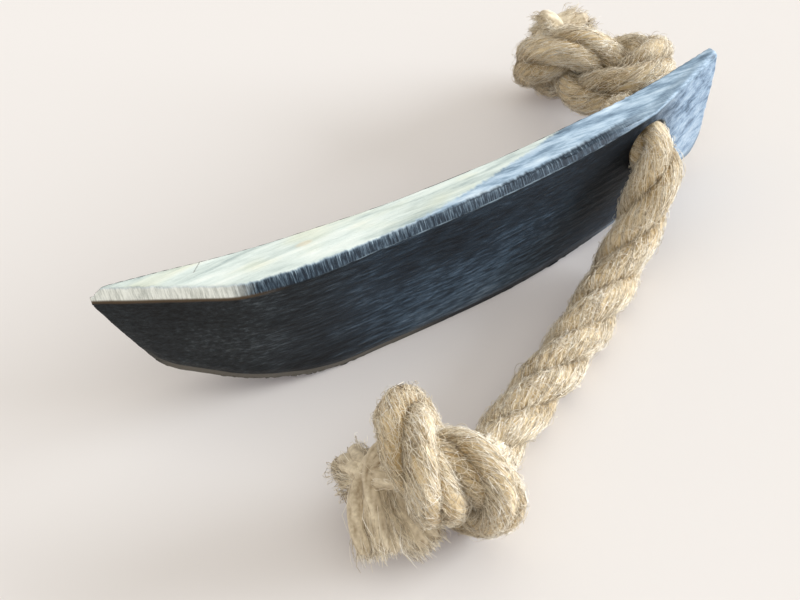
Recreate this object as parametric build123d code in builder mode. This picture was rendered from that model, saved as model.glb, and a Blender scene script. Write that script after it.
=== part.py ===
"""A hand-sized curved slab, sawn and bevelled, with a thick laid rope through its one hole.

The slab stands on its lower long edge. Millimetres, +X along the slab towards the hole,
-Y out of its rounded front, +Z up. The origin is under the middle of the slab, on the floor.
The rope is knotted close behind the hole and again at the end of a short free run in front,
and its three strands are unlaid into brushes past each knot.
"""

import os
from math import cos, pi, radians, tan

from build123d import *

os.makedirs("parts", exist_ok=True)

# Slab: overall sizes
SLAB_LENGTH = 197.0  # tip to tip
SLAB_DEPTH = 22.2  # from the ends of the hollow back to the belly of the front
SLAB_HEIGHT = 41.0
TOP_BEVEL = 2.0  # along the upper front edge
FACET_SLOPE = 10.0  # degrees, the flat planed off the top near the hole

# Hole, from the end of the slab and from the floor
HOLE_DIAMETER = 15.0
HOLE_FROM_END = 32.5
HOLE_HEIGHT = 28.0
HOLE_RIM = 0.5  # broken edge

# Rope
ROPE_DIAMETER = 14.0
BIGHT_RADIUS = 12.6  # centreline of each turn of a knot
BIGHT_OFFSET = 7.0  # of each turn from the knot's middle, along the knot
BIGHT_TILT = 30.0  # degrees, how far the two turns lean apart
BRUSH_START = 0.55  # where a strand's brush starts, as a share of its reach from the knot's middle
FLOOR_GAP = 0.1  # under each knot, which lies on the floor
CLEARANCE = 0.3  # between parts that move against each other
FRONT_GAP = 4.6  # from the slab to the middle of the rope's bend in front of the hole
BACK_GAP = 6.5  # and behind it

half_length = SLAB_LENGTH / 2
half_depth = SLAB_DEPTH / 2
rope_radius = ROPE_DIAMETER / 2
strand_radius = 0.62 * rope_radius  # where an unlaid strand leaves its knot
knot_reach = BIGHT_RADIUS + rope_radius  # from a turn's middle to its outside
knot_height = BIGHT_RADIUS * cos(radians(BIGHT_TILT)) + rope_radius + FLOOR_GAP
hole_x = half_length - HOLE_FROM_END


def across(share):
    """A place along the slab, from -1 at the sharp end to 1 at the roped end."""
    return share * half_length


def deep(share):
    """A place through the slab's depth, from -1 at the belly to 1 at the ends of the back."""
    return share * half_depth


# The slab, as seen from above: a hollow back, a rounded front, an oblique cut at the sharp
# end and a shorter taper at the roped end.
front_surface = [
    (across(-0.665), deep(-0.72)),
    (across(-0.15), deep(-1.0)),
    (across(0.69), deep(-0.33)),
]
back_surface = [
    (across(0.985), deep(1.0)),
    (across(0.0), deep(0.07)),
    (across(-0.955), deep(1.0)),
]
front_at_hole = deep(-0.36)
back_at_hole = deep(0.51)

# The slab, as seen from the front: level where it stands, rising to both ends.
belly = [
    (across(-1.0), SLAB_HEIGHT),
    (across(-1.0), SLAB_HEIGHT - 3.5),
    (across(-0.85), 12.6),
    (across(-0.43), 0.0),
    (across(0.27), 0.0),
    (across(0.78), 6.6),
    (across(0.925), 7.0),
    (across(0.965), 12.0),
    (across(1.0), SLAB_HEIGHT - 6.0),
    (across(1.0), SLAB_HEIGHT),
]
belly_radii = [2.0, 10.0, 70.0, 120.0, 60.0, 4.0, 6.0, 12.0]


def save(piece, label):
    """Name a finished piece, write it and print its box."""
    piece.part.label = label
    export_step(piece.part, f"parts/{label}.step")
    box = piece.part.bounding_box()
    print(label, "solids", len(piece.solids()), "low", box.min, "high", box.max)


with BuildPart() as slab:
    with BuildSketch() as plan:
        with BuildLine():
            front = ThreePointArc(*front_surface)
            Polyline(front @ 1, (across(1.0), deep(0.78)), back_surface[0])
            ThreePointArc(*back_surface)
            Polyline(back_surface[-1], (across(-1.0), deep(0.91)), front @ 0)
        make_face()
    extrude(amount=SLAB_HEIGHT)
    # All of the upper edge but the hollow back and the two short blunt ends.
    upper_edges = slab.edges().group_by(Axis.Z)[-1].sort_by(SortBy.LENGTH)
    chamfer(upper_edges[2:-1], TOP_BEVEL)
    with BuildSketch(Plane.XZ):
        with BuildLine():
            FilletPolyline(*belly, radius=belly_radii)
            Line(belly[-1], belly[0])
        make_face()
    extrude(amount=SLAB_DEPTH, both=True, mode=Mode.INTERSECT)

    # The flat planed off the top, from the middle to the roped end, tips towards the front.
    facet_start = Vector(across(0.035), deep(-0.63), SLAB_HEIGHT)
    facet_end = Vector(across(0.645), deep(0.60), SLAB_HEIGHT)
    along = (facet_end - facet_start).normalized()
    tilted = Vector(0, 0, 1).rotate(Axis((0, 0, 0), along), FACET_SLOPE)
    facet = Plane(origin=facet_start, x_dir=along, z_dir=tilted)
    with Locations(facet):
        Box(SLAB_LENGTH, 4 * SLAB_DEPTH, SLAB_HEIGHT, align=(Align.CENTER, Align.MAX, Align.MIN),
            mode=Mode.SUBTRACT)

    with BuildSketch(Plane.XZ.offset(-SLAB_DEPTH)):
        with Locations((hole_x, HOLE_HEIGHT)):
            Circle(HOLE_DIAMETER / 2)
    extrude(amount=2 * SLAB_DEPTH, mode=Mode.SUBTRACT)
    round_faces = slab.faces().filter_by(GeomType.CYLINDER)
    hole_wall = round_faces.filter_by(lambda face: abs(face.radius - HOLE_DIAMETER / 2) < 0.01)
    chamfer(hole_wall.edges().filter_by(GeomType.LINE, reverse=True), HOLE_RIM)
save(slab, "slab")


def knot(middle, axis, label):
    """Two turns of the rope, leaning apart along the knot's axis, round a filled middle."""
    across_axis = Vector(0, 0, 1).cross(axis).normalized()
    with BuildPart() as turns:
        for end in (-1, 1):
            turn_axis = axis.rotate(Axis((0, 0, 0), across_axis), end * BIGHT_TILT)
            with Locations(Plane(origin=middle + axis * end * BIGHT_OFFSET, z_dir=turn_axis)):
                Torus(BIGHT_RADIUS, rope_radius)
        with Locations(Plane(origin=middle, z_dir=axis)):
            Cylinder(BIGHT_RADIUS, 2 * BIGHT_OFFSET)
    save(turns, label)
    return turns


def tube(route, label):
    """A run of the rope: straight runs joined by tangent arcs, as large as the runs allow."""
    points = [Vector(*point) for point in route]
    runs = [after - before for before, after in zip(points, points[1:])]
    radii = []
    for before, after in zip(runs, runs[1:]):
        half_turn = radians(before.get_angle(after)) / 2
        radii.append(0.45 * min(before.length, after.length) / tan(half_turn))
    print(label, "radii", [round(radius, 1) for radius in radii])
    with BuildPart() as run:
        with BuildLine() as path:
            FilletPolyline(*points, radius=radii)
        line = path.wires()[0]
        with BuildSketch(Plane(origin=line @ 0, z_dir=line % 0)):
            Circle(rope_radius)
        sweep()
    section_times_length = line.length * pi * rope_radius**2
    share = run.part.volume / section_times_length
    print(label, "length", round(line.length, 1), "volume share", round(share, 4))
    return run


def free_run(route, knot_part, label):
    """The rope from its bend at the hole to a knot, where it meets the knot face to face."""
    with BuildPart() as run:
        add(tube(route, label).part)
        with Locations(route[0]):
            Sphere(rope_radius)
        add(knot_part.part, mode=Mode.SUBTRACT)
    save(run, label)


def brush(middle, reach, tip_radius, label):
    """One unlaid strand past a knot: a short flared bundle of fibre, pinched by the knot's turns."""
    reach = reach * knot_reach
    root = middle + reach * BRUSH_START
    with BuildPart() as bundle:
        with Locations(Plane(origin=root, z_dir=reach)):
            Cone(strand_radius, tip_radius, reach.length * (1 - BRUSH_START),
                 align=(Align.CENTER, Align.CENTER, Align.MIN))
    save(bundle, label)


# The rope inside the hole, between the bends at the hole's two mouths.
front_bend = (hole_x, front_at_hole - FRONT_GAP, HOLE_HEIGHT)
back_bend = (hole_x, back_at_hole + BACK_GAP, HOLE_HEIGHT)
held_start = front_bend[1] + rope_radius + CLEARANCE
held_end = back_bend[1] - rope_radius - CLEARANCE
with BuildPart() as rope_in_hole:
    with BuildSketch(Plane.XZ.offset(-held_start)):
        with Locations((hole_x, HOLE_HEIGHT)):
            Circle(rope_radius)
    extrude(amount=held_start - held_end)
save(rope_in_hole, "rope_in_hole")

# In front the rope drops to the floor and runs to its knot.
front_middle = Vector(-42.0, -70.0, knot_height)
front_knot = knot(front_middle, Vector(0.576, -0.817, 0), "front_knot")
front_route = [
    front_bend,
    (60.5, -15.5, 23.0),
    (53.0, -19.5, 13.5),
    (42.5, -25.0, 8.0),
    (28.0, -34.5, 7.3),
    (12.5, -44.0, 7.2),
    (-4.0, -51.5, 8.0),
    (-19.0, -58.5, 11.0),
    (-31.0, -66.0, 17.0),
]
free_run(front_route, front_knot, "rope_front_run")
brush(front_middle, Vector(-0.92, 0.99, -0.41), 7.5, "front_strand_end_1")
brush(front_middle, Vector(-1.17, -0.51, -0.48), 8.0, "front_strand_end_2")
brush(front_middle, Vector(-0.20, -0.92, -0.56), 5.5, "front_strand_end_3")

# Behind, the rope goes almost straight into the knot that stops it.
back_middle = Vector(hole_x + 11.5, back_bend[1] + 26.8, knot_height)
back_knot = knot(back_middle, Vector(0.4, 0.917, 0), "back_knot")
back_route = [
    back_bend,
    (hole_x + 3.0, back_bend[1] + 9.8, HOLE_HEIGHT - 2.5),
    tuple(back_middle),
]
free_run(back_route, back_knot, "rope_back_run")
brush(back_middle, Vector(-0.46, 0.82, 0.79), 5.5, "back_strand_end_1")
brush(back_middle, Vector(0.33, 1.02, 0.90), 6.5, "back_strand_end_2")
brush(back_middle, Vector(0.94, 0.71, -0.56), 5.5, "back_strand_end_3")
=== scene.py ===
# %% [markdown]
# # A curved slab with a knotted rope
# The object is a hand-sized piece of dark horny material, sawn out of a curved blank, with a
# thick three-strand rope through its one hole. The rope is knotted behind the hole and again at
# the end of a short free run in front, and past each knot its strands are unlaid into brushes.
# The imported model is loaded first, because every size and place below is given in its frame:
# +X along the slab towards the hole, -Y out of the rounded front, +Z up.

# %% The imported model
import math

import bpy
import numpy as np
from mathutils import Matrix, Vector
from mathutils.bvhtree import BVHTree


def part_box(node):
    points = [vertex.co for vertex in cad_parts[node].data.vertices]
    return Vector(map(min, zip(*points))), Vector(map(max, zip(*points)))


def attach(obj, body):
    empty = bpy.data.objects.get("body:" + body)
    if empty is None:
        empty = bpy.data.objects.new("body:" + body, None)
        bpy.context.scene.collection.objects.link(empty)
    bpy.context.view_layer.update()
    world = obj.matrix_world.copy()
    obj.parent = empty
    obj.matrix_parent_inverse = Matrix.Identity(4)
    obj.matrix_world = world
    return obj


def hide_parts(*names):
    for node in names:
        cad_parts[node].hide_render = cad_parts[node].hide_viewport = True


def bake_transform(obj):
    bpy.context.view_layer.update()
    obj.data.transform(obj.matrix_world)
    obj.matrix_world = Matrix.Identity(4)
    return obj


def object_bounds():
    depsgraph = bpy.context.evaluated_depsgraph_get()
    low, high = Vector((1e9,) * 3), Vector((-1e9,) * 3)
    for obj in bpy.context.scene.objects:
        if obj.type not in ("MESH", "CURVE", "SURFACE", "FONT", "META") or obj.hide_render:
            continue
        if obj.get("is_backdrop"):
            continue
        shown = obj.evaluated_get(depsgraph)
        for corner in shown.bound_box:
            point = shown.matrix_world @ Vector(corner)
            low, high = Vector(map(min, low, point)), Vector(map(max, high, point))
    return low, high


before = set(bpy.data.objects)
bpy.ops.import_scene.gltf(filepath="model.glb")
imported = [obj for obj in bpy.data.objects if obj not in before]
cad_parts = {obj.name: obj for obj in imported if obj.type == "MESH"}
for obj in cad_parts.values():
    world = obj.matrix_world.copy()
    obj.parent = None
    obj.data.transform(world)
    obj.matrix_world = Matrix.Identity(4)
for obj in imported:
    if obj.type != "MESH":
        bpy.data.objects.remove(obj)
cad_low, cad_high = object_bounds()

MM = 0.001
print("the CAD box in mm", [round(x / MM, 1) for x in (*cad_low, *cad_high)])

# %% [markdown]
# ## Camera, floor and light
# A long lens keeps the slab's long edges nearly parallel. It looks down at 45 degrees, from the
# sharp end's side of the front. The floor and the sky are the same pale warm grey, so that they
# read as one sweep. The sky is warm. A wide cool window light comes from low on the right, which
# leaves the rope's left side in golden shade and its right side almost white. The floor glows a
# little, as paper on a light table does, and so its shadows stay pale. The view transform is the
# plain one, so that a colour in a material is the colour that is seen.

# %% Camera
CAMERA_PLACE = Vector((-203.2, -316.3, 372.6)) * MM
CAMERA_TARGET = Vector((-11.6, 3.2, 0.0)) * MM
CAMERA_ANGLE = 24.0  # degrees across the picture

camera = bpy.data.objects.new("camera", bpy.data.cameras.new("camera"))
bpy.context.scene.collection.objects.link(camera)
camera.location = CAMERA_PLACE
camera.rotation_euler = (CAMERA_TARGET - CAMERA_PLACE).to_track_quat("-Z", "Y").to_euler()
camera.data.angle = math.radians(CAMERA_ANGLE)
camera.data.clip_start = 0.01
bpy.context.scene.camera = camera
bpy.context.scene.view_settings.view_transform = "Standard"
print("lens in mm", round(camera.data.lens, 1))

# %% Window and sky
SKY = (0.91, 0.885, 0.84)
SKY_STRENGTH = 1.0


def window(name, place, spread, power, colour):
    """A far, even light from the side of that place. spread is its width in degrees."""
    light = bpy.data.lights.new(name, "SUN")
    light.energy = power
    light.angle = math.radians(spread)
    light.color = colour
    holder = bpy.data.objects.new(name, light)
    bpy.context.scene.collection.objects.link(holder)
    holder.location = Vector(place) * MM
    holder.rotation_euler = (-Vector(place)).to_track_quat("-Z", "Y").to_euler()


window("side_window", (560, -170, 62), 40, 7.8, (0.90, 0.965, 1.06))
world = bpy.data.worlds.new("studio")
bpy.context.scene.world = world
world.use_nodes = True
world.node_tree.nodes["Background"].inputs["Color"].default_value = (*SKY, 1.0)
world.node_tree.nodes["Background"].inputs["Strength"].default_value = SKY_STRENGTH
print("the sky's colour is", SKY)

# %% Floor
FLOOR_SIZE = 6000.0
bpy.ops.mesh.primitive_plane_add(size=FLOOR_SIZE * MM)
floor = bpy.context.object
floor.name = "floor"
floor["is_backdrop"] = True
print("the floor is", FLOOR_SIZE, "mm wide")

# %% [markdown]
# ## A small language for materials
# A material is a tree of nodes. Written node by node it is long and hard to read, so two small
# classes stand for it. A Wire is a number that comes out of a node, and arithmetic on it adds
# Math nodes. A Finish is a material being built, and its `node` method adds any other node.


# %% Wires and finishes
class Wire:
    """A number that comes out of a node. Arithmetic on it adds Math nodes."""

    def __init__(self, finish, socket):
        self.finish = finish
        self.socket = socket

    def math(self, operation, *values):
        return self.finish.node("Math", {"operation": operation}, dict(enumerate(values)))

    def __add__(self, other):
        return self.math("ADD", self, other)

    def __mul__(self, other):
        return self.math("MULTIPLY", self, other)

    def __sub__(self, other):
        return self.math("SUBTRACT", self, other)

    def __rsub__(self, other):
        return self.math("SUBTRACT", other, self)

    __radd__ = __add__
    __rmul__ = __mul__

    def step(self, low, high):
        """0 below low and 1 above high, with a smooth change between. low may be the larger."""
        settings = {"interpolation_type": "SMOOTHSTEP"}
        if low < high:
            return self.finish.node("MapRange", settings, {0: self, 1: low, 2: high})
        return 1 - self.finish.node("MapRange", settings, {0: self, 1: high, 2: low})


class Finish:
    """A material being built."""

    def __init__(self, name):
        self.material = bpy.data.materials.new(name)
        self.material.use_nodes = True
        self.tree = self.material.node_tree
        self.shader = self.tree.nodes["Principled BSDF"]

    def node(self, kind, settings=None, inputs=None, output=0):
        """Adds a node of that kind. Settings come first, then values or links of its sockets."""
        made = self.tree.nodes.new("ShaderNode" + kind)
        for key, value in (settings or {}).items():
            if key == "stops":
                self.set_stops(made.color_ramp, value)
            else:
                setattr(made, key, value)
        for key, value in (inputs or {}).items():
            self.feed(made.inputs[key], value)
        return Wire(self, made.outputs[output])

    def feed(self, socket, value):
        """Links a wire to a socket, or sets the socket's own value."""
        if isinstance(value, Wire):
            self.tree.links.new(value.socket, socket)
        else:
            socket.default_value = value

    def set_stops(self, ramp, stops):
        """Gives a colour ramp its stops, as (place, colour) pairs."""
        while len(ramp.elements) < len(stops):
            ramp.elements.new(0.5)
        for element, (place, colour) in zip(ramp.elements, stops):
            element.position = place
            element.color = (*colour, 1.0)

    def places(self):
        """The object's own coordinates as a vector, and as x, y and z in millimetres."""
        vector = self.node("TexCoord", output="Object")
        parts = {"Vector": vector}
        return vector, *(self.node("SeparateXYZ", None, parts, out) * 1000.0 for out in "XYZ")

    def stretched(self, vector, scale):
        """A vector scaled by three numbers, for a pattern that is longer one way."""
        return self.node("VectorMath", {"operation": "MULTIPLY"}, {0: vector, 1: scale})

    def noise(self, vector, scale, detail=3.0, roughness=0.5, distortion=0.0):
        inputs = {
            "Vector": vector,
            "Scale": scale,
            "Detail": detail,
            "Roughness": roughness,
            "Distortion": distortion,
        }
        return self.node("TexNoise", None, inputs)

    def attribute(self, name):
        return self.node("Attribute", {"attribute_name": name}, output="Fac")

    def ramp(self, value, *stops):
        return self.node("ValToRGB", {"stops": stops}, {0: value})

    def mix(self, share, one, other, blend="MIX"):
        """A colour between two others, or one of them blended onto the other."""
        settings = {"data_type": "RGBA", "blend_type": blend}
        colours = [c if isinstance(c, Wire) else (*c, 1.0) for c in (one, other)]
        return self.node("Mix", settings, {0: share, 6: colours[0], 7: colours[1]}, output=2)

    def bump(self, height, distance, strength):
        inputs = {"Height": height, "Distance": distance, "Strength": strength}
        return self.node("Bump", None, inputs)

    def set(self, **values):
        """Feeds the shader's sockets. Spaces in their names are written as underscores."""
        for key, value in values.items():
            self.feed(self.shader.inputs[key.replace("_", " ")], value)
        return self.material


# %% The floor's finish
def floor_finish():
    paper = Finish("floor_paper")
    paper.set(Emission_Color=(0.074, 0.066, 0.077, 1.0), Emission_Strength=1.0)
    return paper.set(Base_Color=(0.70, 0.67, 0.63, 1.0), Roughness=0.9, Specular_IOR_Level=0.0)


floor.data.materials.append(floor_finish())
print("the floor is", floor.data.materials[0].name)

# %% [markdown]
# ## The rope's route
# The rope leaves the hole's front mouth, drops to the floor and runs forward to the front knot.
# Its route is the list of points of the CAD tube, moved a little: towards the slab near the hole,
# and down to the floor before the knot, whose turns begin lower than the plain rings of the CAD
# knot. Both knots are one overhand knot pulled tight, and the front one is its mirror image. Such
# a knot looks the same after half a turn about one axis, so half of its points are enough, and
# the other half is those points turned round. The curve is one NURBS spline of order 3, which
# passes smoothly inside its points, and everything on the rope follows points read from it.

# %% Smooth lines
LINE_STEP = 0.75  # between the points that are read from a curve


def spaced(line, step):
    """The line again, with its points evenly spaced."""
    along = np.r_[0.0, np.cumsum(np.linalg.norm(np.diff(line, axis=0), axis=1))]
    at = np.linspace(0.0, along[-1], round(along[-1] / step) + 1)
    return np.stack([np.interp(at, along, line[:, k]) for k in range(3)], axis=1)


def smooth_line(name, route):
    """Evenly spaced points of the NURBS spline that has the route as its control points."""
    curve = bpy.data.curves.new(name, "CURVE")
    curve.dimensions = "3D"
    curve.resolution_u = 16
    spline = curve.splines.new("NURBS")
    spline.points.add(len(route) - 1)
    for point, place in zip(spline.points, route):
        point.co = (*place, 1.0)
    spline.order_u = 3
    spline.use_endpoint_u = True
    mesh = bpy.data.meshes.new_from_object(bpy.data.objects.new(name, curve))
    line = spaced(np.array([v.co for v in mesh.vertices]), LINE_STEP)
    print(name, "is", round(LINE_STEP * (len(line) - 1), 1), "mm long")
    return line


# %% The knot
# Half of a tightened overhand knot, in millimetres. The first number is along the pull, and the
# second is along the axis of its half turn.
HALF_KNOT = [
    (-15.0, 0.0, -1.0),
    (-2.5, -4.0, -7.0),
    (7.0, -15.5, -5.0),
    (14.5, -15.0, 8.5),
    (14.5, -4.5, 16.5),
    (9.0, 8.0, 15.0),
    (2.5, 11.0, 5.5),
]


def knot(middle, pull, over, hand, size):
    """The points of a knot. hand is 1, or -1 for its mirror image."""
    x = np.array(pull) / np.linalg.norm(pull)
    y = over - x * (x @ over)
    y = y / np.linalg.norm(y)
    half = np.array(HALF_KNOT) * size
    turned = (half * (-1.0, 1.0, -1.0))[::-1]
    placed = np.concatenate([half, turned]) @ np.stack([x, y, hand * np.cross(x, y)])
    return [tuple(point) for point in placed + middle]


# %% Both lines
HOLE = (66.0, 28.0)  # its place along the slab and its height
front_route = [
    (66.0, -1.0, 28.0),
    (66.0, -8.6, 28.0),
    (60.5, -14.5, 24.0),
    (53.0, -18.5, 14.0),
    (42.5, -24.5, 8.0),
    (28.0, -34.0, 7.3),
    (12.5, -43.5, 7.2),
    (-4.0, -51.5, 7.4),
    (-18.0, -59.0, 7.2),
    (-29.0, -66.0, 9.0),
]
front_knot = knot((-44.1, -68.4, 22.0), (-0.96, 0.15, 0.23), (0.07, 0.94, -0.32), -1, 0.84)
back_route = [(66.0, -1.5, 28.0), (66.0, 6.0, 28.0), (69.0, 13.0, 25.0), (80.0, 20.0, 13.0)]
back_knot = knot((84.0, 45.0, 15.7), (-0.21, 0.89, 0.41), (0.80, 0.40, -0.44), 1, 0.9)
front_line = smooth_line("front_line", front_route + front_knot)
back_line = smooth_line("back_line", back_route + back_knot)

# %% [markdown]
# ## Laid rope
# Three strands are twisted together one way, and the yarns in each strand are twisted the other
# way, which is why the yarns run almost straight down the rope. A strand is made as a tube along
# a helix round the line. Each yarn is a low rounded ridge on that tube, and the grooves between
# them are real geometry, so they catch the light in every view.

# %% Sizes of the rope
ROPE_DIAMETER = 14.0
LAY = 53.0  # one turn of the strands
STRAND_RADIUS = 3.95
STRAND_OFFSET = 3.0  # from the rope's middle to a strand's middle
YARNS = 11  # that show round one strand
YARN_TURN = -0.13  # radians in a millimetre, against the lay
RIDGE = 0.08  # how high a yarn stands, as a share of the strand's radius
RUMPLE = 0.30  # how uneven a strand is
AROUND = 55  # points round a strand
FLOOR_GAP = 0.1  # the rope lies this much above the floor
print("a strand's middle turns once in", LAY, "mm")


# %% Frames along a line
def unit(vectors):
    return vectors / np.linalg.norm(vectors, axis=-1, keepdims=True)


def frames(line):
    """The direction of a line at each point, and two side directions that don't twist."""
    ahead = unit(np.gradient(line, axis=0))
    side = np.empty_like(line)
    side[0] = unit(np.cross(ahead[0], (0.3, 0.2, 0.9)))
    for i in range(1, len(line)):
        side[i] = unit(side[i - 1] - ahead[i] * (side[i - 1] @ ahead[i]))
    return ahead, side, np.cross(ahead, side)


class Strand:
    """One strand, or any line with something round it."""

    def __init__(self, line):
        self.line = line
        self.ahead, self.side, self.other = frames(line)
        self.along = np.r_[0.0, np.cumsum(np.linalg.norm(np.diff(line, axis=0), axis=1))]

    def read(self, values, at):
        """Values given at the line's points, at other distances along it."""
        return np.stack([np.interp(at, self.along, values[:, k]) for k in range(3)], axis=-1)

    def out(self, at, angle):
        """The direction out of the line at a distance along it and an angle round it."""
        across = np.cos(angle)[..., None] * self.read(self.side, at)
        return across + np.sin(angle)[..., None] * self.read(self.other, at)

    def point(self, at, angle, reach):
        return self.read(self.line, at) + reach[..., None] * self.out(at, angle)


def strands_of(line):
    """The three strands of a rope on that line."""
    _, side, other = frames(line)
    turn = 2 * math.pi * LINE_STEP / LAY * np.arange(len(line))
    found = []
    for k in range(3):
        angle = (turn + 2 * math.pi * k / 3)[:, None]
        found.append(Strand(line + STRAND_OFFSET * (np.cos(angle) * side + np.sin(angle) * other)))
    return found


# %% Meshes from arrays
class Parts:
    """Collects tubes and hairs in arrays, and makes one mesh of them."""

    def __init__(self):
        self.points = []
        self.quads = []
        self.triangles = []
        self.shade = []
        self.count = 0

    def add(self, points, quads, triangles, shade):
        """shade is one number for each point, from 0 in a groove to 1 on a crown. A low number
        paints the point darker, as painted shade.
        """
        self.points.append(points.reshape(-1, 3))
        self.quads.append(quads.reshape(-1, 4) + self.count)
        self.triangles.append(triangles.reshape(-1, 3) + self.count)
        self.shade.append(shade.reshape(-1))
        self.count += len(self.points[-1])

    def tube(self, points, shade):
        """A closed tube through rings of points, given as (rings, around, 3)."""
        rings, around = points.shape[:2]
        here = np.arange(rings * around).reshape(rings, around)
        near, far = here[:-1], here[1:]
        quads = np.stack([near, np.roll(near, -1, 1), np.roll(far, -1, 1), far], axis=-1)
        middles = np.stack([points[0].mean(0), points[-1].mean(0)])
        first, last = rings * around, rings * around + 1
        start = np.stack([np.roll(here[0], -1), here[0], np.full(around, first)], axis=-1)
        end = np.stack([here[-1], np.roll(here[-1], -1), np.full(around, last)], axis=-1)
        shades = np.r_[shade.reshape(-1), shade[0].mean(), shade[-1].mean()]
        self.add(np.concatenate([points.reshape(-1, 3), middles]), quads, np.r_[start, end], shades)

    def hairs(self, paths, radius, shade, random):
        """Fine closed tubes of three sides. paths is (hairs, points, 3), with a shade for each
        hair or for each of its points. Hairs that would dip below the floor lie on it."""
        paths[..., 2] = np.maximum(paths[..., 2], 2 * radius[:, None])
        count, steps = paths.shape[:2]
        ahead = unit(np.gradient(paths, axis=1) + 1e-9)
        side = unit(np.cross(ahead, unit(random.normal(size=(count, 1, 3)))) + 1e-9)
        other = np.cross(ahead, side)
        thin = np.sin(np.linspace(0.22, 0.9, steps) * math.pi) ** 0.5
        angle = 2 * math.pi * np.arange(3) / 3
        across, up = side[:, :, None], other[:, :, None]
        ring = np.cos(angle)[:, None] * across + np.sin(angle)[:, None] * up
        points = paths[:, :, None] + (radius[:, None] * thin)[..., None, None] * ring
        here = np.arange(count * steps * 3).reshape(count, steps, 3)
        near, far = here[:, :-1], here[:, 1:]
        quads = np.stack([near, np.roll(near, -1, 2), np.roll(far, -1, 2), far], axis=-1)
        ends = np.concatenate([here[:, 0, ::-1], here[:, -1]])
        self.add(points, quads, ends, np.broadcast_to(shade[..., None], here.shape))

    def mesh(self, name, finish):
        """One object of everything collected, in metres."""
        mesh = bpy.data.meshes.new(name)
        faces = np.concatenate(self.quads).tolist() + np.concatenate(self.triangles).tolist()
        mesh.from_pydata((np.concatenate(self.points) * MM).tolist(), [], faces)
        shade = mesh.attributes.new("shade", "FLOAT", "POINT")
        shade.data.foreach_set("value", np.concatenate(self.shade).astype(np.float32))
        mesh.polygons.foreach_set("use_smooth", np.ones(len(faces), bool))
        mesh.materials.append(finish)
        mesh.update()
        made = bpy.data.objects.new(name, mesh)
        bpy.context.scene.collection.objects.link(made)
        print(name, len(faces), "faces")
        return made


# %% [markdown]
# ## The fibre's finish
# Jute is golden brown where it is in shade and almost white where the light is on it. Its grooves
# are painted darker, as painted shade. Every point carries a number, its shade, from a groove to a
# crown. Each loose fibre has a shade of its own, partly by chance and partly painted shade where it
# lies deep in a groove. That number and a blotchy noise choose the colour.


# %% Jute
def jute_finish(name, dark, middle, pale):
    jute = Finish(name)
    vector, _, _, _ = jute.places()
    blotch = jute.noise(vector, 95.0, 4.0)
    fleck = jute.noise(vector, 900.0, 2.0)
    # The shade number paints shade: it is low in the grooves and deep in the rope, where the colour
    # is made darker.
    value = jute.attribute("shade") * 0.62 + blotch * 0.45 + fleck * 0.25 - 0.19
    colour = jute.ramp(value, (0.08, dark), (0.45, middle), (0.92, pale))
    jute.set(Base_Color=colour, Roughness=0.8)
    return jute.set(Specular_IOR_Level=0.25, Sheen_Weight=0.2, Sheen_Roughness=0.5)


# The dark of a groove, which is painted shade, the middle, and the pale of a crown or a fibre in
# the light.
rope_jute = jute_finish("rope_jute", (0.045, 0.026, 0.010), (0.44, 0.31, 0.15), (0.80, 0.66, 0.43))
fibre_jute = jute_finish("fibre_jute", (0.17, 0.10, 0.038), (0.87, 0.76, 0.56), (1.0, 0.98, 0.93))
print("finishes", rope_jute.name, fibre_jute.name)

# %% [markdown]
# ## Making the rope
# The two stretches of rope are two pieces, because they move apart: the front one bends where
# it leaves the hole and its knot swings over the floor, and the back one slides through the hole
# and swings behind. Each piece covers its stretch in the hole, its run and its knot, so the rope
# has no joint where it shows.


# %% Strand tubes
def rumple(random, along, angle, count=7):
    """A smooth uneven surface, as a few waves with chance sizes."""
    total = 0.0
    for _ in range(count):
        pitch = random.uniform(0.08, 0.55)
        turns, start = random.integers(-3, 4), random.uniform(0, 7)
        total = total + np.sin(pitch * along + turns * angle + start)
    return total / count


def lay_rope(name, line, seed):
    """The three strands of a rope, with a ridge for each yarn."""
    random = np.random.default_rng(seed)
    parts = Parts()
    strands = strands_of(line)
    angle = 2 * math.pi * np.arange(AROUND) / AROUND
    for strand in strands:
        at, round_it = np.meshgrid(strand.along, angle, indexing="ij")
        turned = round_it - YARN_TURN * at
        ridge = np.abs(np.sin(YARNS / 2 * turned + 0.9 * rumple(random, at, round_it))) ** 0.6
        reach = STRAND_RADIUS * (1 - RIDGE + RIDGE * ridge) + RUMPLE * rumple(random, at, round_it)
        points = strand.point(at, round_it, reach)
        points[..., 2] = np.maximum(points[..., 2], FLOOR_GAP)
        # Painted shade: points deep in the rope, in the grooves between the strands and between the
        # yarns, get a low shade and so a darker colour.
        from_middle = np.linalg.norm(points - line[:, None], axis=-1) / (ROPE_DIAMETER / 2)
        crown = np.clip((from_middle - 0.45) / 0.5, 0, 1)
        parts.tube(points, crown * (0.45 + 0.55 * ridge))
    return parts.mesh(name, rope_jute), strands


front_rope, front_strands = lay_rope("front_rope", front_line, 11)
back_rope, back_strands = lay_rope("back_rope", back_line, 12)

# %% [markdown]
# ## Loose fibres
# Nothing makes jute look like jute as much as its fibres. Many lie along the yarns and lift only at
# their ends. Nearly as many lie anyhow, curl over the grooves and stand off a little. Each is a
# closed hair of its own, about a tenth of a millimetre thick, and it is painted darker where it
# lies deep in a groove, as painted shade. They are pieces apart from the strands and move with the
# same bodies.

# %% Fibre sizes
LYING_LENGTH = (4.0, 12.0)
TANGLED_LENGTH = (2.5, 9.0)
BRIDGING = 0.25  # how far tangled fibres span the grooves, from 0, not at all, to 1
FIBRE_RADIUS = (0.04, 0.09)
FINE_RADIUS = (0.03, 0.07)  # of tangled fibres
SPREAD = 1.9  # lying fibres reach so far, in radians, each side of a strand's crown
STAND_OFF = 1.5  # the most that a tangled fibre stands off


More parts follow.
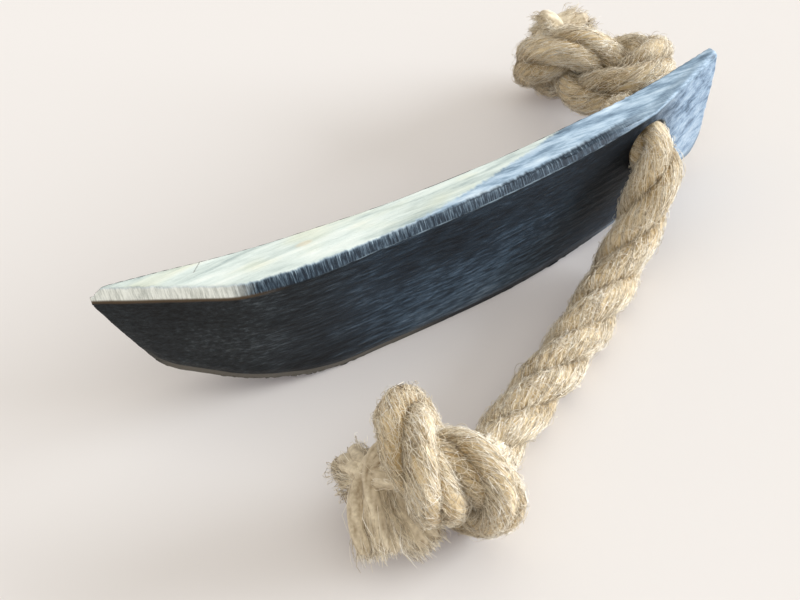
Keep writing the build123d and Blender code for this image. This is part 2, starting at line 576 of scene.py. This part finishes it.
def painted_groove_shade(reach):
    """Painted shade: fibres deep in a groove are made darker than those on a crown."""
    return 0.15 + 0.85 * np.clip((reach / (ROPE_DIAMETER / 2) - 0.6) / 0.35, 0, 1)


def outward_angles(random, strand, line, at):
    """Angles round a strand that face out of the rope, give or take the spread."""
    away = strand.read(strand.line - line, at)
    across = (away * strand.read(strand.side, at)).sum(-1)
    up = (away * strand.read(strand.other, at)).sum(-1)
    return np.arctan2(up, across) + random.uniform(-SPREAD, SPREAD, len(at))


# %% Fibres that lie along the yarns
def lying_fibres(name, line, strands, count, seed, steps=6):
    """Fibres along the yarns, which follow their turn and stray from it a little."""
    random = np.random.default_rng(seed)
    parts = Parts()
    share = np.linspace(0, 1, steps)
    for strand in strands:
        n = count // 3
        start = random.uniform(1.0, strand.along[-1] - 1.0, n)
        first = outward_angles(random, strand, line, start)
        length = random.uniform(*LYING_LENGTH, n)[:, None]
        at = np.clip(start[:, None] + share * length, 0, strand.along[-1])
        stray = random.normal(0, 0.45, (n, 1)) * share + random.normal(0, 0.55, (n, 1)) * share**2
        angle = first[:, None] + YARN_TURN * (at - start[:, None]) + stray
        ends = np.abs(2 * share - 1) ** 3
        lift = random.uniform(-0.10, 0.30, (n, 1)) + random.uniform(0, 0.9, (n, 1)) ** 2 * ends
        paths = strand.point(at, angle, STRAND_RADIUS + lift)
        reach = np.linalg.norm(paths - strand.read(line, at), axis=-1)
        radius, shade = random.uniform(*FIBRE_RADIUS, n), random.uniform(0, 1, (n, 1))
        parts.hairs(paths, radius, shade * painted_groove_shade(reach), random)
    return parts.mesh(name, fibre_jute)


# %% Fibres that lie anyhow
def rope_reach(at, angle):
    """From the rope's middle to its surface, at a distance along it and an angle round it."""
    turned = angle - 2 * math.pi * at / LAY
    third = 2 * math.pi / 3
    off_crown = turned - third * np.round(turned / third)
    sideways = STRAND_OFFSET * np.sin(off_crown)
    return STRAND_OFFSET * np.cos(off_crown) + np.sqrt(STRAND_RADIUS**2 - sideways**2)


def tangled_fibres(name, line, count, seed, steps=7):
    """Fine curly fibres over the whole rope, which cross the grooves between the strands."""
    random = np.random.default_rng(seed)
    parts = Parts()
    rope = Strand(line)
    share = np.linspace(0, 1, steps)
    start = random.uniform(2.0, rope.along[-1] - 2.0, count)[:, None]
    length = random.uniform(*TANGLED_LENGTH, count)[:, None]
    lean = random.normal(0, 0.9, (count, 1))
    curl = random.normal(0, 2.0, (count, 1))
    heading = lean + curl * share + 0.8 * random.normal(0, 1, (count, 1)) * np.sin(5 * share)
    ahead = np.cumsum(np.cos(heading), axis=1) / steps * random.choice([-1.0, 1.0], (count, 1))
    round_it = np.cumsum(np.sin(heading), axis=1) / steps
    at = np.clip(start + length * ahead, 0, rope.along[-1])
    angle = random.uniform(0, 2 * math.pi, (count, 1)) + length * round_it / (ROPE_DIAMETER / 2)
    height = random.uniform(0, 1, (count, 1)) ** 3 * STAND_OFF
    rise = np.sin(math.pi * np.clip(share + random.uniform(-0.3, 0.5, (count, 1)), 0, 1))
    crown = STRAND_OFFSET + STRAND_RADIUS
    surface = rope_reach(at, angle) * (1 - BRIDGING) + crown * BRIDGING
    reach = surface + random.uniform(-0.35, 0.25, (count, 1)) + height * rise
    radius, shade = random.uniform(*FINE_RADIUS, count), random.uniform(0.1, 1, (count, 1))
    parts.hairs(rope.point(at, angle, reach), radius, shade * painted_groove_shade(reach), random)
    return parts.mesh(name, fibre_jute)


front_fibres = [
    lying_fibres("front_lying_fibres_1", front_line, front_strands, 5700, 21),
    lying_fibres("front_lying_fibres_2", front_line, front_strands, 5700, 27),
    tangled_fibres("front_tangled_fibres_1", front_line, 5200, 22),
    tangled_fibres("front_tangled_fibres_2", front_line, 5200, 25),
]
back_fibres = [
    lying_fibres("back_lying_fibres_1", back_line, back_strands, 4200, 23),
    lying_fibres("back_lying_fibres_2", back_line, back_strands, 4200, 28),
    tangled_fibres("back_tangled_fibres_1", back_line, 3700, 24),
    tangled_fibres("back_tangled_fibres_2", back_line, 3700, 26),
]

# %% [markdown]
# ## Strand ends
# Past each knot the strands are unlaid, and each has opened into a brush. A brush is a bundle
# of yarns, each a ridged tube that swells towards its tip and is rounded off there, with fibres
# along it that run a little past the cut. The yarns leave the strand's end side by side and fan
# out to a flat oval at the tip.


# %% The shape of a brush
ROOT_RADIUS = 2.6  # of the bundle where it leaves the strand
ROOT_DEPTH = 2.0  # how far inside the strand's end it begins
UNEVEN_CUT = (-1.2, 1.0)
YARNS_IN_BRUSH = 13


def sunflower(count):
    """Points spread evenly over a round disc of radius 1."""
    index = np.arange(count) + 0.5
    angle = index * math.radians(137.508)
    return np.sqrt(index / count) * np.stack([np.cos(angle), np.sin(angle)])


def bezier(ends, share):
    """Points of cubic curves. ends is four arrays of points, and share the way along."""
    a, b, c, d = (end[..., None, :] for end in ends)
    t = share[..., None]
    return a * (1 - t) ** 3 + 3 * b * t * (1 - t) ** 2 + 3 * c * t**2 * (1 - t) + d * t**3


def curls(random, count, share, size):
    """Smooth chance moves aside, nought at the start of each path."""
    pitch, start = random.uniform(2, 7, (count, 1, 3)), random.uniform(0, 6, (count, 1, 3))
    turns = pitch * share[:, None] + start
    return size * random.normal(size=(count, 1, 3)) * (np.sin(turns) - np.sin(turns[:, :1]))


class Bundle:
    """The paths of a brush's yarns. across is the tip's wide direction, and lean is how much of
    the way the strand keeps its own direction, or via is a place that pulls it aside."""

    def __init__(self, random, strand, tip, across, wide, thick, lean, via):
        root, tip = strand.line[-1], np.array(tip)
        length = np.linalg.norm(tip - root)
        self.ahead = unit(tip - root - lean * length * strand.ahead[-1])
        self.wide_way = unit(np.array(across) - self.ahead * (self.ahead @ np.array(across)))
        self.thick_way = np.cross(self.ahead, self.wide_way)
        self.size = (wide + thick) / 2
        u, v = sunflower(YARNS_IN_BRUSH)
        near = root + ROOT_RADIUS * (u[:, None] * strand.side[-1] + v[:, None] * strand.other[-1])
        near = near - ROOT_DEPTH * strand.ahead[-1]
        far = tip + wide * u[:, None] * self.wide_way + thick * v[:, None] * self.thick_way
        far = far + random.uniform(*UNEVEN_CUT, (YARNS_IN_BRUSH, 1)) * self.ahead
        pulled = near + lean * length * strand.ahead[-1] if via is None else near - root + via
        self.ends = (near, pulled, far - 0.4 * length * self.ahead, far)


# %% Yarns and fibres of a brush
YARN_RADIUS = 2.0
YARN_SWELL = 0.11  # of the tip's size, added along the yarn
BRUSH_RADIUS = (0.04, 0.085)  # of its fibres
BRUSH_FIBRES = 4600
PAST_CUT = 1.6  # the most that a fibre runs past the cut


def brush_yarns(parts, random, bundle):
    share = np.linspace(0, 1, 22)
    angle = 2 * math.pi * np.arange(16) / 16
    centres = bezier(bundle.ends, np.broadcast_to(share, (YARNS_IN_BRUSH, len(share))))
    for centre in centres + curls(random, YARNS_IN_BRUSH, share, 0.6):
        yarn = Strand(centre)
        at, round_it = np.meshgrid(yarn.along, angle, indexing="ij")
        swell = YARN_RADIUS + bundle.size * YARN_SWELL * at / yarn.along[-1]
        ridge = np.abs(np.sin(2.5 * round_it + 0.22 * at + random.uniform(0, 6))) ** 0.6
        uneven = 0.12 * rumple(random, 2 * at, round_it)
        blunt = np.sqrt(1 - 0.97 * (at / yarn.along[-1]) ** 16)
        points = yarn.point(at, round_it, swell * blunt * (0.86 + 0.14 * ridge + uneven))
        points[..., 2] = np.maximum(points[..., 2], FLOOR_GAP)
        # Painted shade: the yarns get a low shade, so they show dark between the brush's fibres,
        # and darkest in the grooves between their ridges and at their rounded tips.
        parts.tube(points, ridge * 0.28 * blunt)


def brush_fibres(parts, random, bundle, count):
    which = random.integers(0, YARNS_IN_BRUSH, count)
    share = np.linspace(0, 1, 6)
    begin = random.uniform(0, 0.85, count)[:, None]
    end = np.minimum(begin + random.uniform(0.15, 0.5, (count, 1)), 1.0)
    along = begin + (end - begin) * share
    paths = bezier([e[which] for e in bundle.ends], along)
    turn = random.uniform(0, 2 * math.pi, count)[:, None]
    turn = turn + random.normal(0, 1.5, (count, 1)) * along
    reach = (1.0 + bundle.size * 0.12 * along) * random.uniform(0.8, 1.4, (count, 1))
    offset = np.cos(turn)[..., None] * bundle.wide_way + np.sin(turn)[..., None] * bundle.thick_way
    past = np.where(end > 0.98, random.uniform(0, PAST_CUT, (count, 1)), 0.0)
    paths = paths + reach[..., None] * offset + (past * share**4)[..., None] * bundle.ahead
    paths = paths + curls(random, count, share, 0.6)
    radius = random.uniform(*BRUSH_RADIUS, count)
    parts.hairs(paths, radius, random.uniform(0, 0.9, (count, 1)), random)


# %% Brushes
def brush(name, strand, tip, across, wide, thick, lean, seed, via=None):
    """The opened end of a strand."""
    random = np.random.default_rng(seed)
    parts = Parts()
    bundle = Bundle(random, strand, tip, across, wide, thick, lean, via)
    brush_yarns(parts, random, bundle)
    brush_fibres(parts, random, bundle, BRUSH_FIBRES)
    return parts.mesh(name, fibre_jute)


UP_THE_KNOT = (0.3, 0.5, 0.8)  # the wide direction of the back brushes
TUFT_TURN = (61.0, 58.5, 28.0)  # pulls the back tuft to the left before it lies on the knot


def brushes(side, strands, rows, first_seed):
    """Three brushes. A row is tip, across, wide, thick, lean and perhaps via."""
    made = []
    for number, (strand, row) in enumerate(zip(strands, rows)):
        name = f"{side}_brush_{number + 1}"
        made.append(brush(name, strand, *row[:5], first_seed + number, *row[5:]))
    return made


front_brushes = brushes("front", front_strands, [
    ((-57.5, -53.5, 11.0), (0.5, 0.9, 0.6), 6.5, 5.5, 0.35),
    ((-62.5, -75.0, 8.5), (0.9, -0.4, 0.4), 6.0, 5.5, 0.35),
    ((-52.0, -77.5, 6.0), (0.9, -0.5, 0.0), 4.0, 4.0, 0.3),
], 31)
back_brushes = brushes("back", back_strands, [
    ((83.0, 54.0, 24.5), UP_THE_KNOT, 5.8, 5.2, 0, TUFT_TURN),
    ((71.5, 58.0, 25.0), UP_THE_KNOT, 4.5, 4.5, 0.3),
    ((89.0, 60.0, 9.0), UP_THE_KNOT, 5.0, 4.0, 0.3),
], 34)

# %% [markdown]
# ## The slab
# The slab's shape is the CAD node's. A copy of it is remeshed into small even faces, and each
# point goes back onto the CAD surface, so that the sawn edges stay straight. The front is then
# rounded where the oblique cut meets it, both front edges get their planed bevels, and the faces
# get the shallow waves and lengthwise ridges of grown horn. Each point keeps its distance from
# the upper front edge and its height above the lower one, because the finish changes there.

# %% A fine copy of the slab
SLAB_VOXEL = 0.55


def fine_copy(node, voxel):
    """The points and faces of a CAD node, remeshed, with the points back on its surface."""
    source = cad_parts[node]
    holder = bpy.data.objects.new("fine", source.data.copy())
    bpy.context.scene.collection.objects.link(holder)
    remesh = holder.modifiers.new("remesh", "REMESH")
    remesh.mode = "VOXEL"
    remesh.voxel_size = voxel * MM
    graph = bpy.context.evaluated_depsgraph_get()
    mesh = bpy.data.meshes.new_from_object(holder.evaluated_get(graph))
    bpy.data.objects.remove(holder)
    surface = BVHTree.FromObject(source, graph)
    for vertex in mesh.vertices:
        vertex.co = surface.find_nearest(vertex.co)[0]
    print(node, "has", len(mesh.polygons), "fine faces")
    return mesh, surface


slab_mesh, slab_surface = fine_copy("slab", SLAB_VOXEL)

# %% Rays at the slab
FACE_HEIGHT = 37.5  # a height at which the front face is there all along the slab
IN_FRONT = -60.0
BELOW = -20.0
slab_low, slab_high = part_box("slab")
SLAB_TOP = slab_high.z / MM


def hit(x, y, z, ahead):
    """Where a ray meets the slab, in millimetres, or None."""
    place = slab_surface.ray_cast(Vector((x, y, z)) * MM, Vector(ahead))[0]
    return None if place is None else place / MM


def face_at(x):
    """The place on the front face, or None past the slab's ends."""
    return hit(x, IN_FRONT, FACE_HEIGHT, (0, 1, 0))


print("the slab is", round(SLAB_TOP, 1), "mm high")

# %% The front's plan
BELLY_PLACE = -48.0  # where the front stands out a little more than the CAD solid's arc
BELLY_WIDTH = 14.0
BELLY_OUT = 1.3
CREASE_PLACE = -64.0  # where the oblique cut meets the arc
CREASE_REACH = 11.0
CREASE_WIDTH = 4.0  # of the smoothing that rounds the crease
SMOOTHING = 24  # points each side, half a millimetre apart
FADE_DEPTH = 9.0  # behind the front, where its moves have faded out


def bell(x, place, width):
    """1 at the place, and fading away smoothly on both sides of it."""
    return np.exp(-0.5 * ((x - place) / width) ** 2)


def front_plan():
    """x, the CAD front's y, and the wanted y: its crease rounded and its belly fuller."""
    x = np.arange(slab_low.x / MM, slab_high.x / MM, 0.5)
    places = [face_at(at) for at in x]
    known = np.array([(at, place.y) for at, place in zip(x, places) if place])
    old = np.interp(x, *known.T)
    weights = bell(np.arange(-SMOOTHING, SMOOTHING + 1) * 0.5, 0, CREASE_WIDTH)
    smooth = np.convolve(np.pad(old, SMOOTHING, "edge"), weights / weights.sum(), "valid")
    rounded = old + (smooth - old) * bell(x, CREASE_PLACE, CREASE_REACH)
    return x, old, rounded - BELLY_OUT * bell(x, BELLY_PLACE, BELLY_WIDTH)


plan_x, cad_front, front = front_plan()
print("the front lies between y", round(front.min(), 1), "and", round(front.max(), 1))


def behind_front(points):
    """How far points lie behind the wanted front."""
    return points[:, 1] - np.interp(points[:, 0], plan_x, front)


def shape_front(points):
    """Moves the front to its wanted plan. The move fades out towards the hollow back."""
    depth = points[:, 1] - np.interp(points[:, 0], plan_x, cad_front)
    share = np.clip(1 - depth / FADE_DEPTH, 0, 1)
    points[:, 1] += share * np.interp(points[:, 0], plan_x, front - cad_front)
    return points


# %% The lower front bevel
LOWER_BEVEL = 3.8  # its height
LOWER_SLOPE = 0.30  # how far it leans back, as a share of its height
LOWER_EASE = 12.0  # it fades out over so much at both ends
FRONT_DEPTH = 4.0  # points deeper than this aren't on the front


def lower_edge():
    """Along the slab: x, and the height of the lower front edge."""
    rows = []
    for x in np.arange(slab_low.x / MM + 3, slab_high.x / MM - 3, 1.0):
        face = face_at(x)
        under = face and hit(x, face.y + 2.5, BELOW, (0, 0, 1))
        if under:
            rows.append((x, under.z))
    return np.array(rows).T


def plane_lower_edge(points):
    """Moves points that lie outside the bevel onto it, and gives their heights above the edge."""
    x, under = lower_edge()
    behind = behind_front(points)
    above = points[:, 2] - np.interp(points[:, 0], x, under)
    from_ends = np.minimum(points[:, 0] - x[0], x[-1] - points[:, 0])
    ease = np.clip(from_ends / LOWER_EASE, 0, 1)
    least = np.maximum(LOWER_BEVEL - above, 0) * LOWER_SLOPE * ease
    points[:, 1] += np.where(behind < FRONT_DEPTH, np.maximum(least - behind, 0), 0)
    return points, above


# %% The upper front bevels
BEVEL_TOP = 2.0  # how far behind the front the saw's bevel begins
BEVEL_DROP = 3.1  # how far down the front it ends
BEVEL_END = (58.0, 72.0)  # both bevels fade out between these places
WIDE_SLOPE = 0.11  # of the second, nearly flat bevel behind it
WIDE_BEVEL = ((-25.0, 55.0), (BEVEL_TOP, 11.0))  # it widens towards the hole


def edge_place(points):
    """Distance from the upper front edge, positive along the top and negative down the front."""
    return behind_front(points) - (SLAB_TOP - points[:, 2])


def plane_upper_edge(points):
    """Planes the saw's steep bevel, and then the wide one behind it."""
    behind = behind_front(points)
    fade = np.clip((BEVEL_END[1] - points[:, 0]) / (BEVEL_END[1] - BEVEL_END[0]), 0, 1)
    least = BEVEL_TOP * (1 - (SLAB_TOP - points[:, 2]) / BEVEL_DROP)
    at_front = (behind < FRONT_DEPTH) & (points[:, 2] > SLAB_TOP - BEVEL_DROP)
    points[:, 1] += np.where(at_front, np.maximum(least - behind, 0) * fade, 0)
    wide = np.interp(points[:, 0], *WIDE_BEVEL)
    limit = SLAB_TOP - WIDE_SLOPE * (wide - behind) * fade
    points[:, 2] = np.where(behind < wide, np.minimum(points[:, 2], limit), points[:, 2])
    return points


# %% Waves and ridges
WAVE_HEIGHT = 0.16
RIDGE_HEIGHT = 0.045
SKIN = 0.12  # the faces are drawn in by this much, to make room for the waves
HOLE_CLEAR = 8.6  # from the hole's middle: the waves leave the hole alone


def waves(random, places, scales, count):
    """Smooth chance waves. scales is how long a wave is along each axis."""
    total = np.zeros(len(places))
    for _ in range(count):
        pitch = random.normal(size=3) / np.array(scales)
        total += np.sin(places @ pitch * 2 + random.uniform(0, 7))
    return total / math.sqrt(count)


def grow(mesh, points):
    """Moves the points along their normals, by the waves and ridges of the horn."""
    random = np.random.default_rng(41)
    normals = np.array([v.normal for v in mesh.vertices])
    broad = waves(random, points, (26, 12, 9), 24) * WAVE_HEIGHT
    ridges = waves(random, points, (30, 1.6, 1.1), 40) * RIDGE_HEIGHT
    in_hole = np.hypot(points[:, 0] - HOLE[0], points[:, 2] - HOLE[1]) < HOLE_CLEAR
    points += normals * np.where(in_hole, 0.0, broad + ridges - SKIN)[:, None]
    points[:, 2] = np.maximum(points[:, 2], 0)
    return points


# %% The slab's piece
def place_points(mesh, points):
    mesh.vertices.foreach_set("co", (points * MM).astype(np.float32).ravel())
    mesh.update()


def keep(mesh, name, values):
    """Stores one number for each point, for the finish to read."""
    stored = mesh.attributes.new(name, "FLOAT", "POINT")
    stored.data.foreach_set("value", values.astype(np.float32))


def finish_slab(mesh):
    points = np.array([v.co for v in mesh.vertices]) / MM
    points, above = plane_lower_edge(shape_front(points))
    points = plane_upper_edge(points)
    keep(mesh, "foot", above)
    keep(mesh, "edge", edge_place(points))
    place_points(mesh, points)
    place_points(mesh, grow(mesh, points))
    mesh.polygons.foreach_set("use_smooth", np.ones(len(mesh.polygons), bool))
    mesh.update()


finish_slab(slab_mesh)
slab_piece = bpy.data.objects.new("horn_slab", slab_mesh)
bpy.context.scene.collection.objects.link(slab_piece)
print(slab_piece.name, "is", round(slab_piece.dimensions.x / MM, 1), "mm long")

# %% [markdown]
# ## The slab's finish
# The old outer face is almost black, brownish at the sharp end, with fine fibres along it and a
# painted bluish sheen low in its middle, and the hollow back is as dark. Near the roped end the
# outer face turns blue, partly the horn's colour and partly painted reflection. The sawn top is
# pale, creamy at the sharp end and blue towards the hole. The saw's bevel cuts through both and
# carries its marks across it. The lower bevel is worn brown. Which of these a point belongs to is
# read from its distance to the upper edge, its height above the lower one, and its place along the
# slab.


# %% Outer face
def face_colours(horn, grain, cloud, along, z):
    """The old outer face: near-black, brownish at the sharp end, with a painted bluish sheen low
    down.
    """
    # Painted sheen: a lighter bluish patch low in the middle of the face stands in for reflected
    # light.
    painted_sheen = along.step(-48.0, -18.0) * along.step(42.0, 5.0) * z.step(33.0, 14.0)
    dark = horn.ramp(
        grain * 0.82 + cloud * 0.5 + painted_sheen * 0.15 - 0.270 - along.step(28.0, 52.0) * 0.12,
        (0.25, (0.004, 0.006, 0.009)),
        (0.45, (0.014, 0.023, 0.034)),
        (0.60, (0.050, 0.078, 0.110)),
        (0.80, (0.170, 0.225, 0.285)),
    )
    brown = horn.mix(1.0, dark, (1.25, 0.95, 0.75), "MULTIPLY")
    return horn.mix(along.step(-20.0, -62.0), dark, brown)


def streaks(horn, vector, scale, detail, distortion):
    """Uneven streaks along the slab."""
    return horn.noise(horn.stretched(vector, (0.10, 1.0, 1.0)), scale, detail, 0.6, distortion)


# %% Sawn top
def blue_colours(horn, vector, grain, cloud):
    streak = streaks(horn, vector, 420.0, 3.0, 0.3)
    return horn.ramp(
        grain * 0.5 + streak * 0.8 + cloud * 0.3 - 0.25,
        (0.28, (0.055, 0.085, 0.118)),
        (0.44, (0.190, 0.270, 0.350)),
        (0.56, (0.370, 0.480, 0.580)),
        (0.72, (0.600, 0.700, 0.760)),
    )


SPOT = (-43.0, -1.6)  # the amber spot's place
CRACK = (-70.4, 5.1)
CRACK_WAY = (0.757, 0.654)


def amber_spot(horn, x, y, streak, under):
    along = (x - SPOT[0]) * 0.45
    across = y - SPOT[1]
    from_spot = along * along + across * across + streak * 6.0 - 3.0
    return horn.mix(from_spot.step(1.6, 0.0) * 0.3, under, (0.72, 0.48, 0.24))


def short_crack(horn, x, y, grain, under):
    along = (x - CRACK[0]) * CRACK_WAY[0] + (y - CRACK[1]) * CRACK_WAY[1]
    off = (x - CRACK[0]) * CRACK_WAY[1] - (y - CRACK[1]) * CRACK_WAY[0] + grain * 0.4 - 0.2
    crack = (off * off).step(0.03, 0.01) * (along * along).step(9.0, 6.0)
    return horn.mix(crack * 0.55, under, (0.14, 0.13, 0.11))


def cream_colours(horn, vector, x, y, grain):
    """Milky, with bluish and yellowish streaks, an amber spot and a short crack."""
    streak = streaks(horn, vector, 330.0, 5.0, 0.5)
    milk = horn.ramp(
        streak * 0.75 + grain * 0.25,
        (0.30, (0.30, 0.37, 0.37)),
        (0.42, (0.54, 0.61, 0.57)),
        (0.52, (0.67, 0.74, 0.69)),
        (0.66, (0.80, 0.84, 0.78)),
    )
    yellow = horn.noise(horn.stretched(vector, (0.3, 1.0, 1.0)), 110.0, 2.0)
    milk = horn.mix(yellow.step(0.50, 0.66) * 0.7, milk, (0.98, 0.93, 0.80), "MULTIPLY")
    return short_crack(horn, x, y, grain, amber_spot(horn, x, y, streak, milk))


# %% Bevels
def saw_colours(horn, vector, edge, along, cloud):
    """The bevel: dark, with pale strokes across it. Whitish past the oblique cut's corner."""
    across = horn.noise(horn.stretched(vector, (1.0, 0.10, 0.10)), 2100.0, 3.0, 0.7)
    strength = edge.step(-3.2, -2.4) * 0.06 + edge.step(-1.0, 2.4) * 0.12 + cloud * 0.2
    strokes = horn.ramp(
        across + strength - 0.20,
        (0.40, (0.010, 0.017, 0.027)),
        (0.50, (0.040, 0.062, 0.085)),
        (0.61, (0.110, 0.150, 0.185)),
        (0.75, (0.340, 0.420, 0.470)),
    )
    line = edge.step(0.4, 1.1) * edge.step(2.3, 1.6) * along.step(-25.0, 10.0)
    strokes = horn.mix(line * 0.75, strokes, (0.012, 0.020, 0.032))
    hatch = horn.ramp(across, (0.35, (0.50, 0.52, 0.48)), (0.60, (0.84, 0.86, 0.80)))
    return horn.mix(along.step(-60.0, -68.0), strokes, hatch)


def edge_lines(horn, edge, along, grain, under):
    """A pale scratch below the saw's bevel, and a brown groove below it at the sharp end."""
    scratch = edge.step(-3.3, -3.0) * edge.step(-2.5, -2.8) * along.step(-50.0, -30.0)
    colour = horn.mix(scratch * grain.step(0.4, 0.6) * 0.7, under, (0.20, 0.26, 0.30))
    groove = edge.step(-4.2, -3.4) * edge.step(-2.2, -3.0) * along.step(-50.0, -66.0)
    return horn.mix(groove * 0.8, colour, (0.10, 0.065, 0.035))


def worn_foot(horn, out, along, cloud, under):
    """The lower bevel: brown, then almost black, and bluish at the roped end."""
    worn = horn.mix(along.step(-22.0, 0.0), (0.115, 0.105, 0.088), (0.008, 0.010, 0.013))
    worn = horn.mix(along.step(45.0, 70.0), worn, (0.17, 0.22, 0.27))
    foot = horn.attribute("foot") + cloud * 1.2 - 0.6
    is_lower = foot.step(2.3, 1.8) * (1 - out.step(-0.45, -0.25)) * along.step(-88.0, -80.0)
    return horn.mix(is_lower, under, worn)


# %% Horn
def horn_finish():
    horn = Finish("horn")
    vector, x, y, z = horn.places()
    geometry = horn.node("NewGeometry", output="Normal")
    out = horn.node("SeparateXYZ", None, {0: geometry}, "Y")  # 1 on the hollow back
    grain = horn.noise(horn.stretched(vector, (0.13, 1.0, 1.0)), 1300.0, 5.0, 0.7)
    cloud = horn.noise(horn.stretched(vector, (0.6, 1.0, 1.0)), 45.0, 4.0, 0.55)
    along = x + cloud * 16.0 - 8.0
    ragged = horn.noise(horn.stretched(vector, (1.0, 0.2, 0.2)), 900.0, 2.0) * 1.8 - 0.9
    edge = horn.attribute("edge")
    soft_edge = edge + ragged + cloud * 1.6 - 0.8

    blue = blue_colours(horn, vector, grain, cloud)
    # Near the roped end the outer face turns a muted blue, lighter than the near-black face. This
    # is partly the horn's colour and partly painted reflection.
    end_blue_and_reflection = horn.mix(1.0, blue, (0.60, 0.62, 0.66), "MULTIPLY")
    face = horn.mix(along.step(60.0, 84.0), face_colours(horn, grain, cloud, along, z), end_blue_and_reflection)
    wide = (x + 25.0).step(0.0, 80.0) * 9.0
    cream = cream_colours(horn, vector, x, y, grain)
    sawn = horn.mix((soft_edge - wide).step(1.3, 2.6), blue, cream)
    sawn = horn.mix(along.step(46.0, 58.0), sawn, blue)
    strokes = saw_colours(horn, vector, soft_edge, along, cloud)
    band = horn.mix(soft_edge.step(1.0, 2.6), strokes, sawn)
    band = horn.mix(along.step(46.0, 66.0) * 0.8, band, blue)

    colour = horn.mix(edge.step(-2.6, -3.3), band, face)
    colour = edge_lines(horn, edge, along, grain, colour)
    colour = worn_foot(horn, out, along, cloud, colour)
    colour = horn.mix(out.step(0.35, 0.6), colour, face)
    normal = horn.bump(grain * 0.9 + cloud * 0.3, 0.00035, 0.6)
    rough = 0.60 - cloud * 0.30 + edge.step(0.0, 2.0) * 0.15
    horn.set(Base_Color=colour, Roughness=rough, Normal=normal)
    return horn.set(Specular_IOR_Level=0.18)


slab_mesh.materials.clear()
slab_mesh.materials.append(horn_finish())
print(slab_mesh.materials[0].name, "has", len(slab_mesh.materials[0].node_tree.nodes), "nodes")

# %% [markdown]
# ## What moves with what
# The slab is one body, and each brush hangs on its rope's body. The places where the front rope
# leaves the hole's mouth, over the first centimetre in front of it, and where the back rope leaves
# it behind, are given. Nothing here bends the ropes: they and their fibres are fixed in place as
# they are. The lengths of the ropes are measured along their middles, with the turns of their
# knots.

# %% Bodies
def in_metres(places):
    return [tuple(x * MM for x in place) for place in places]


FRONT_MOUTH, FRONT_LEAVES = in_metres([(66.0, -3.0, 28.0), (60.5, -15.0, 24.0)])
BACK_MOUTH, BACK_LEAVES = in_metres([(66.0, 8.0, 28.0), (68.5, 18.0, 25.0)])

for piece in (front_rope, *front_fibres):
    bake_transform(piece)
for piece in (back_rope, *back_fibres):
    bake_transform(piece)
for piece in front_brushes:
    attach(piece, "front_rope")
for piece in back_brushes:
    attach(piece, "back_rope")
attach(slab_piece, "slab")
print(2 + len(front_fibres) + len(back_fibres), "pieces bend, and the others ride")

# %% What stands for what
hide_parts("slab")
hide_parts("rope_front_run", "front_knot")
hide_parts("rope_in_hole", "rope_back_run", "back_knot")
for number in range(3):
    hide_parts(f"front_strand_end_{number + 1}")
    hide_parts(f"back_strand_end_{number + 1}")


# %% The cords
def declare(line):
    path = in_metres(line[::4].tolist() + line[-1:].tolist())


declare(front_line)
declare(back_line)

# %% Size
low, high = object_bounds()
past = [(a - b) / MM for a, b in zip((*cad_low, *high), (*low, *cad_high))]
print("visual beyond CAD in mm", [round(x, 1) for x in past])
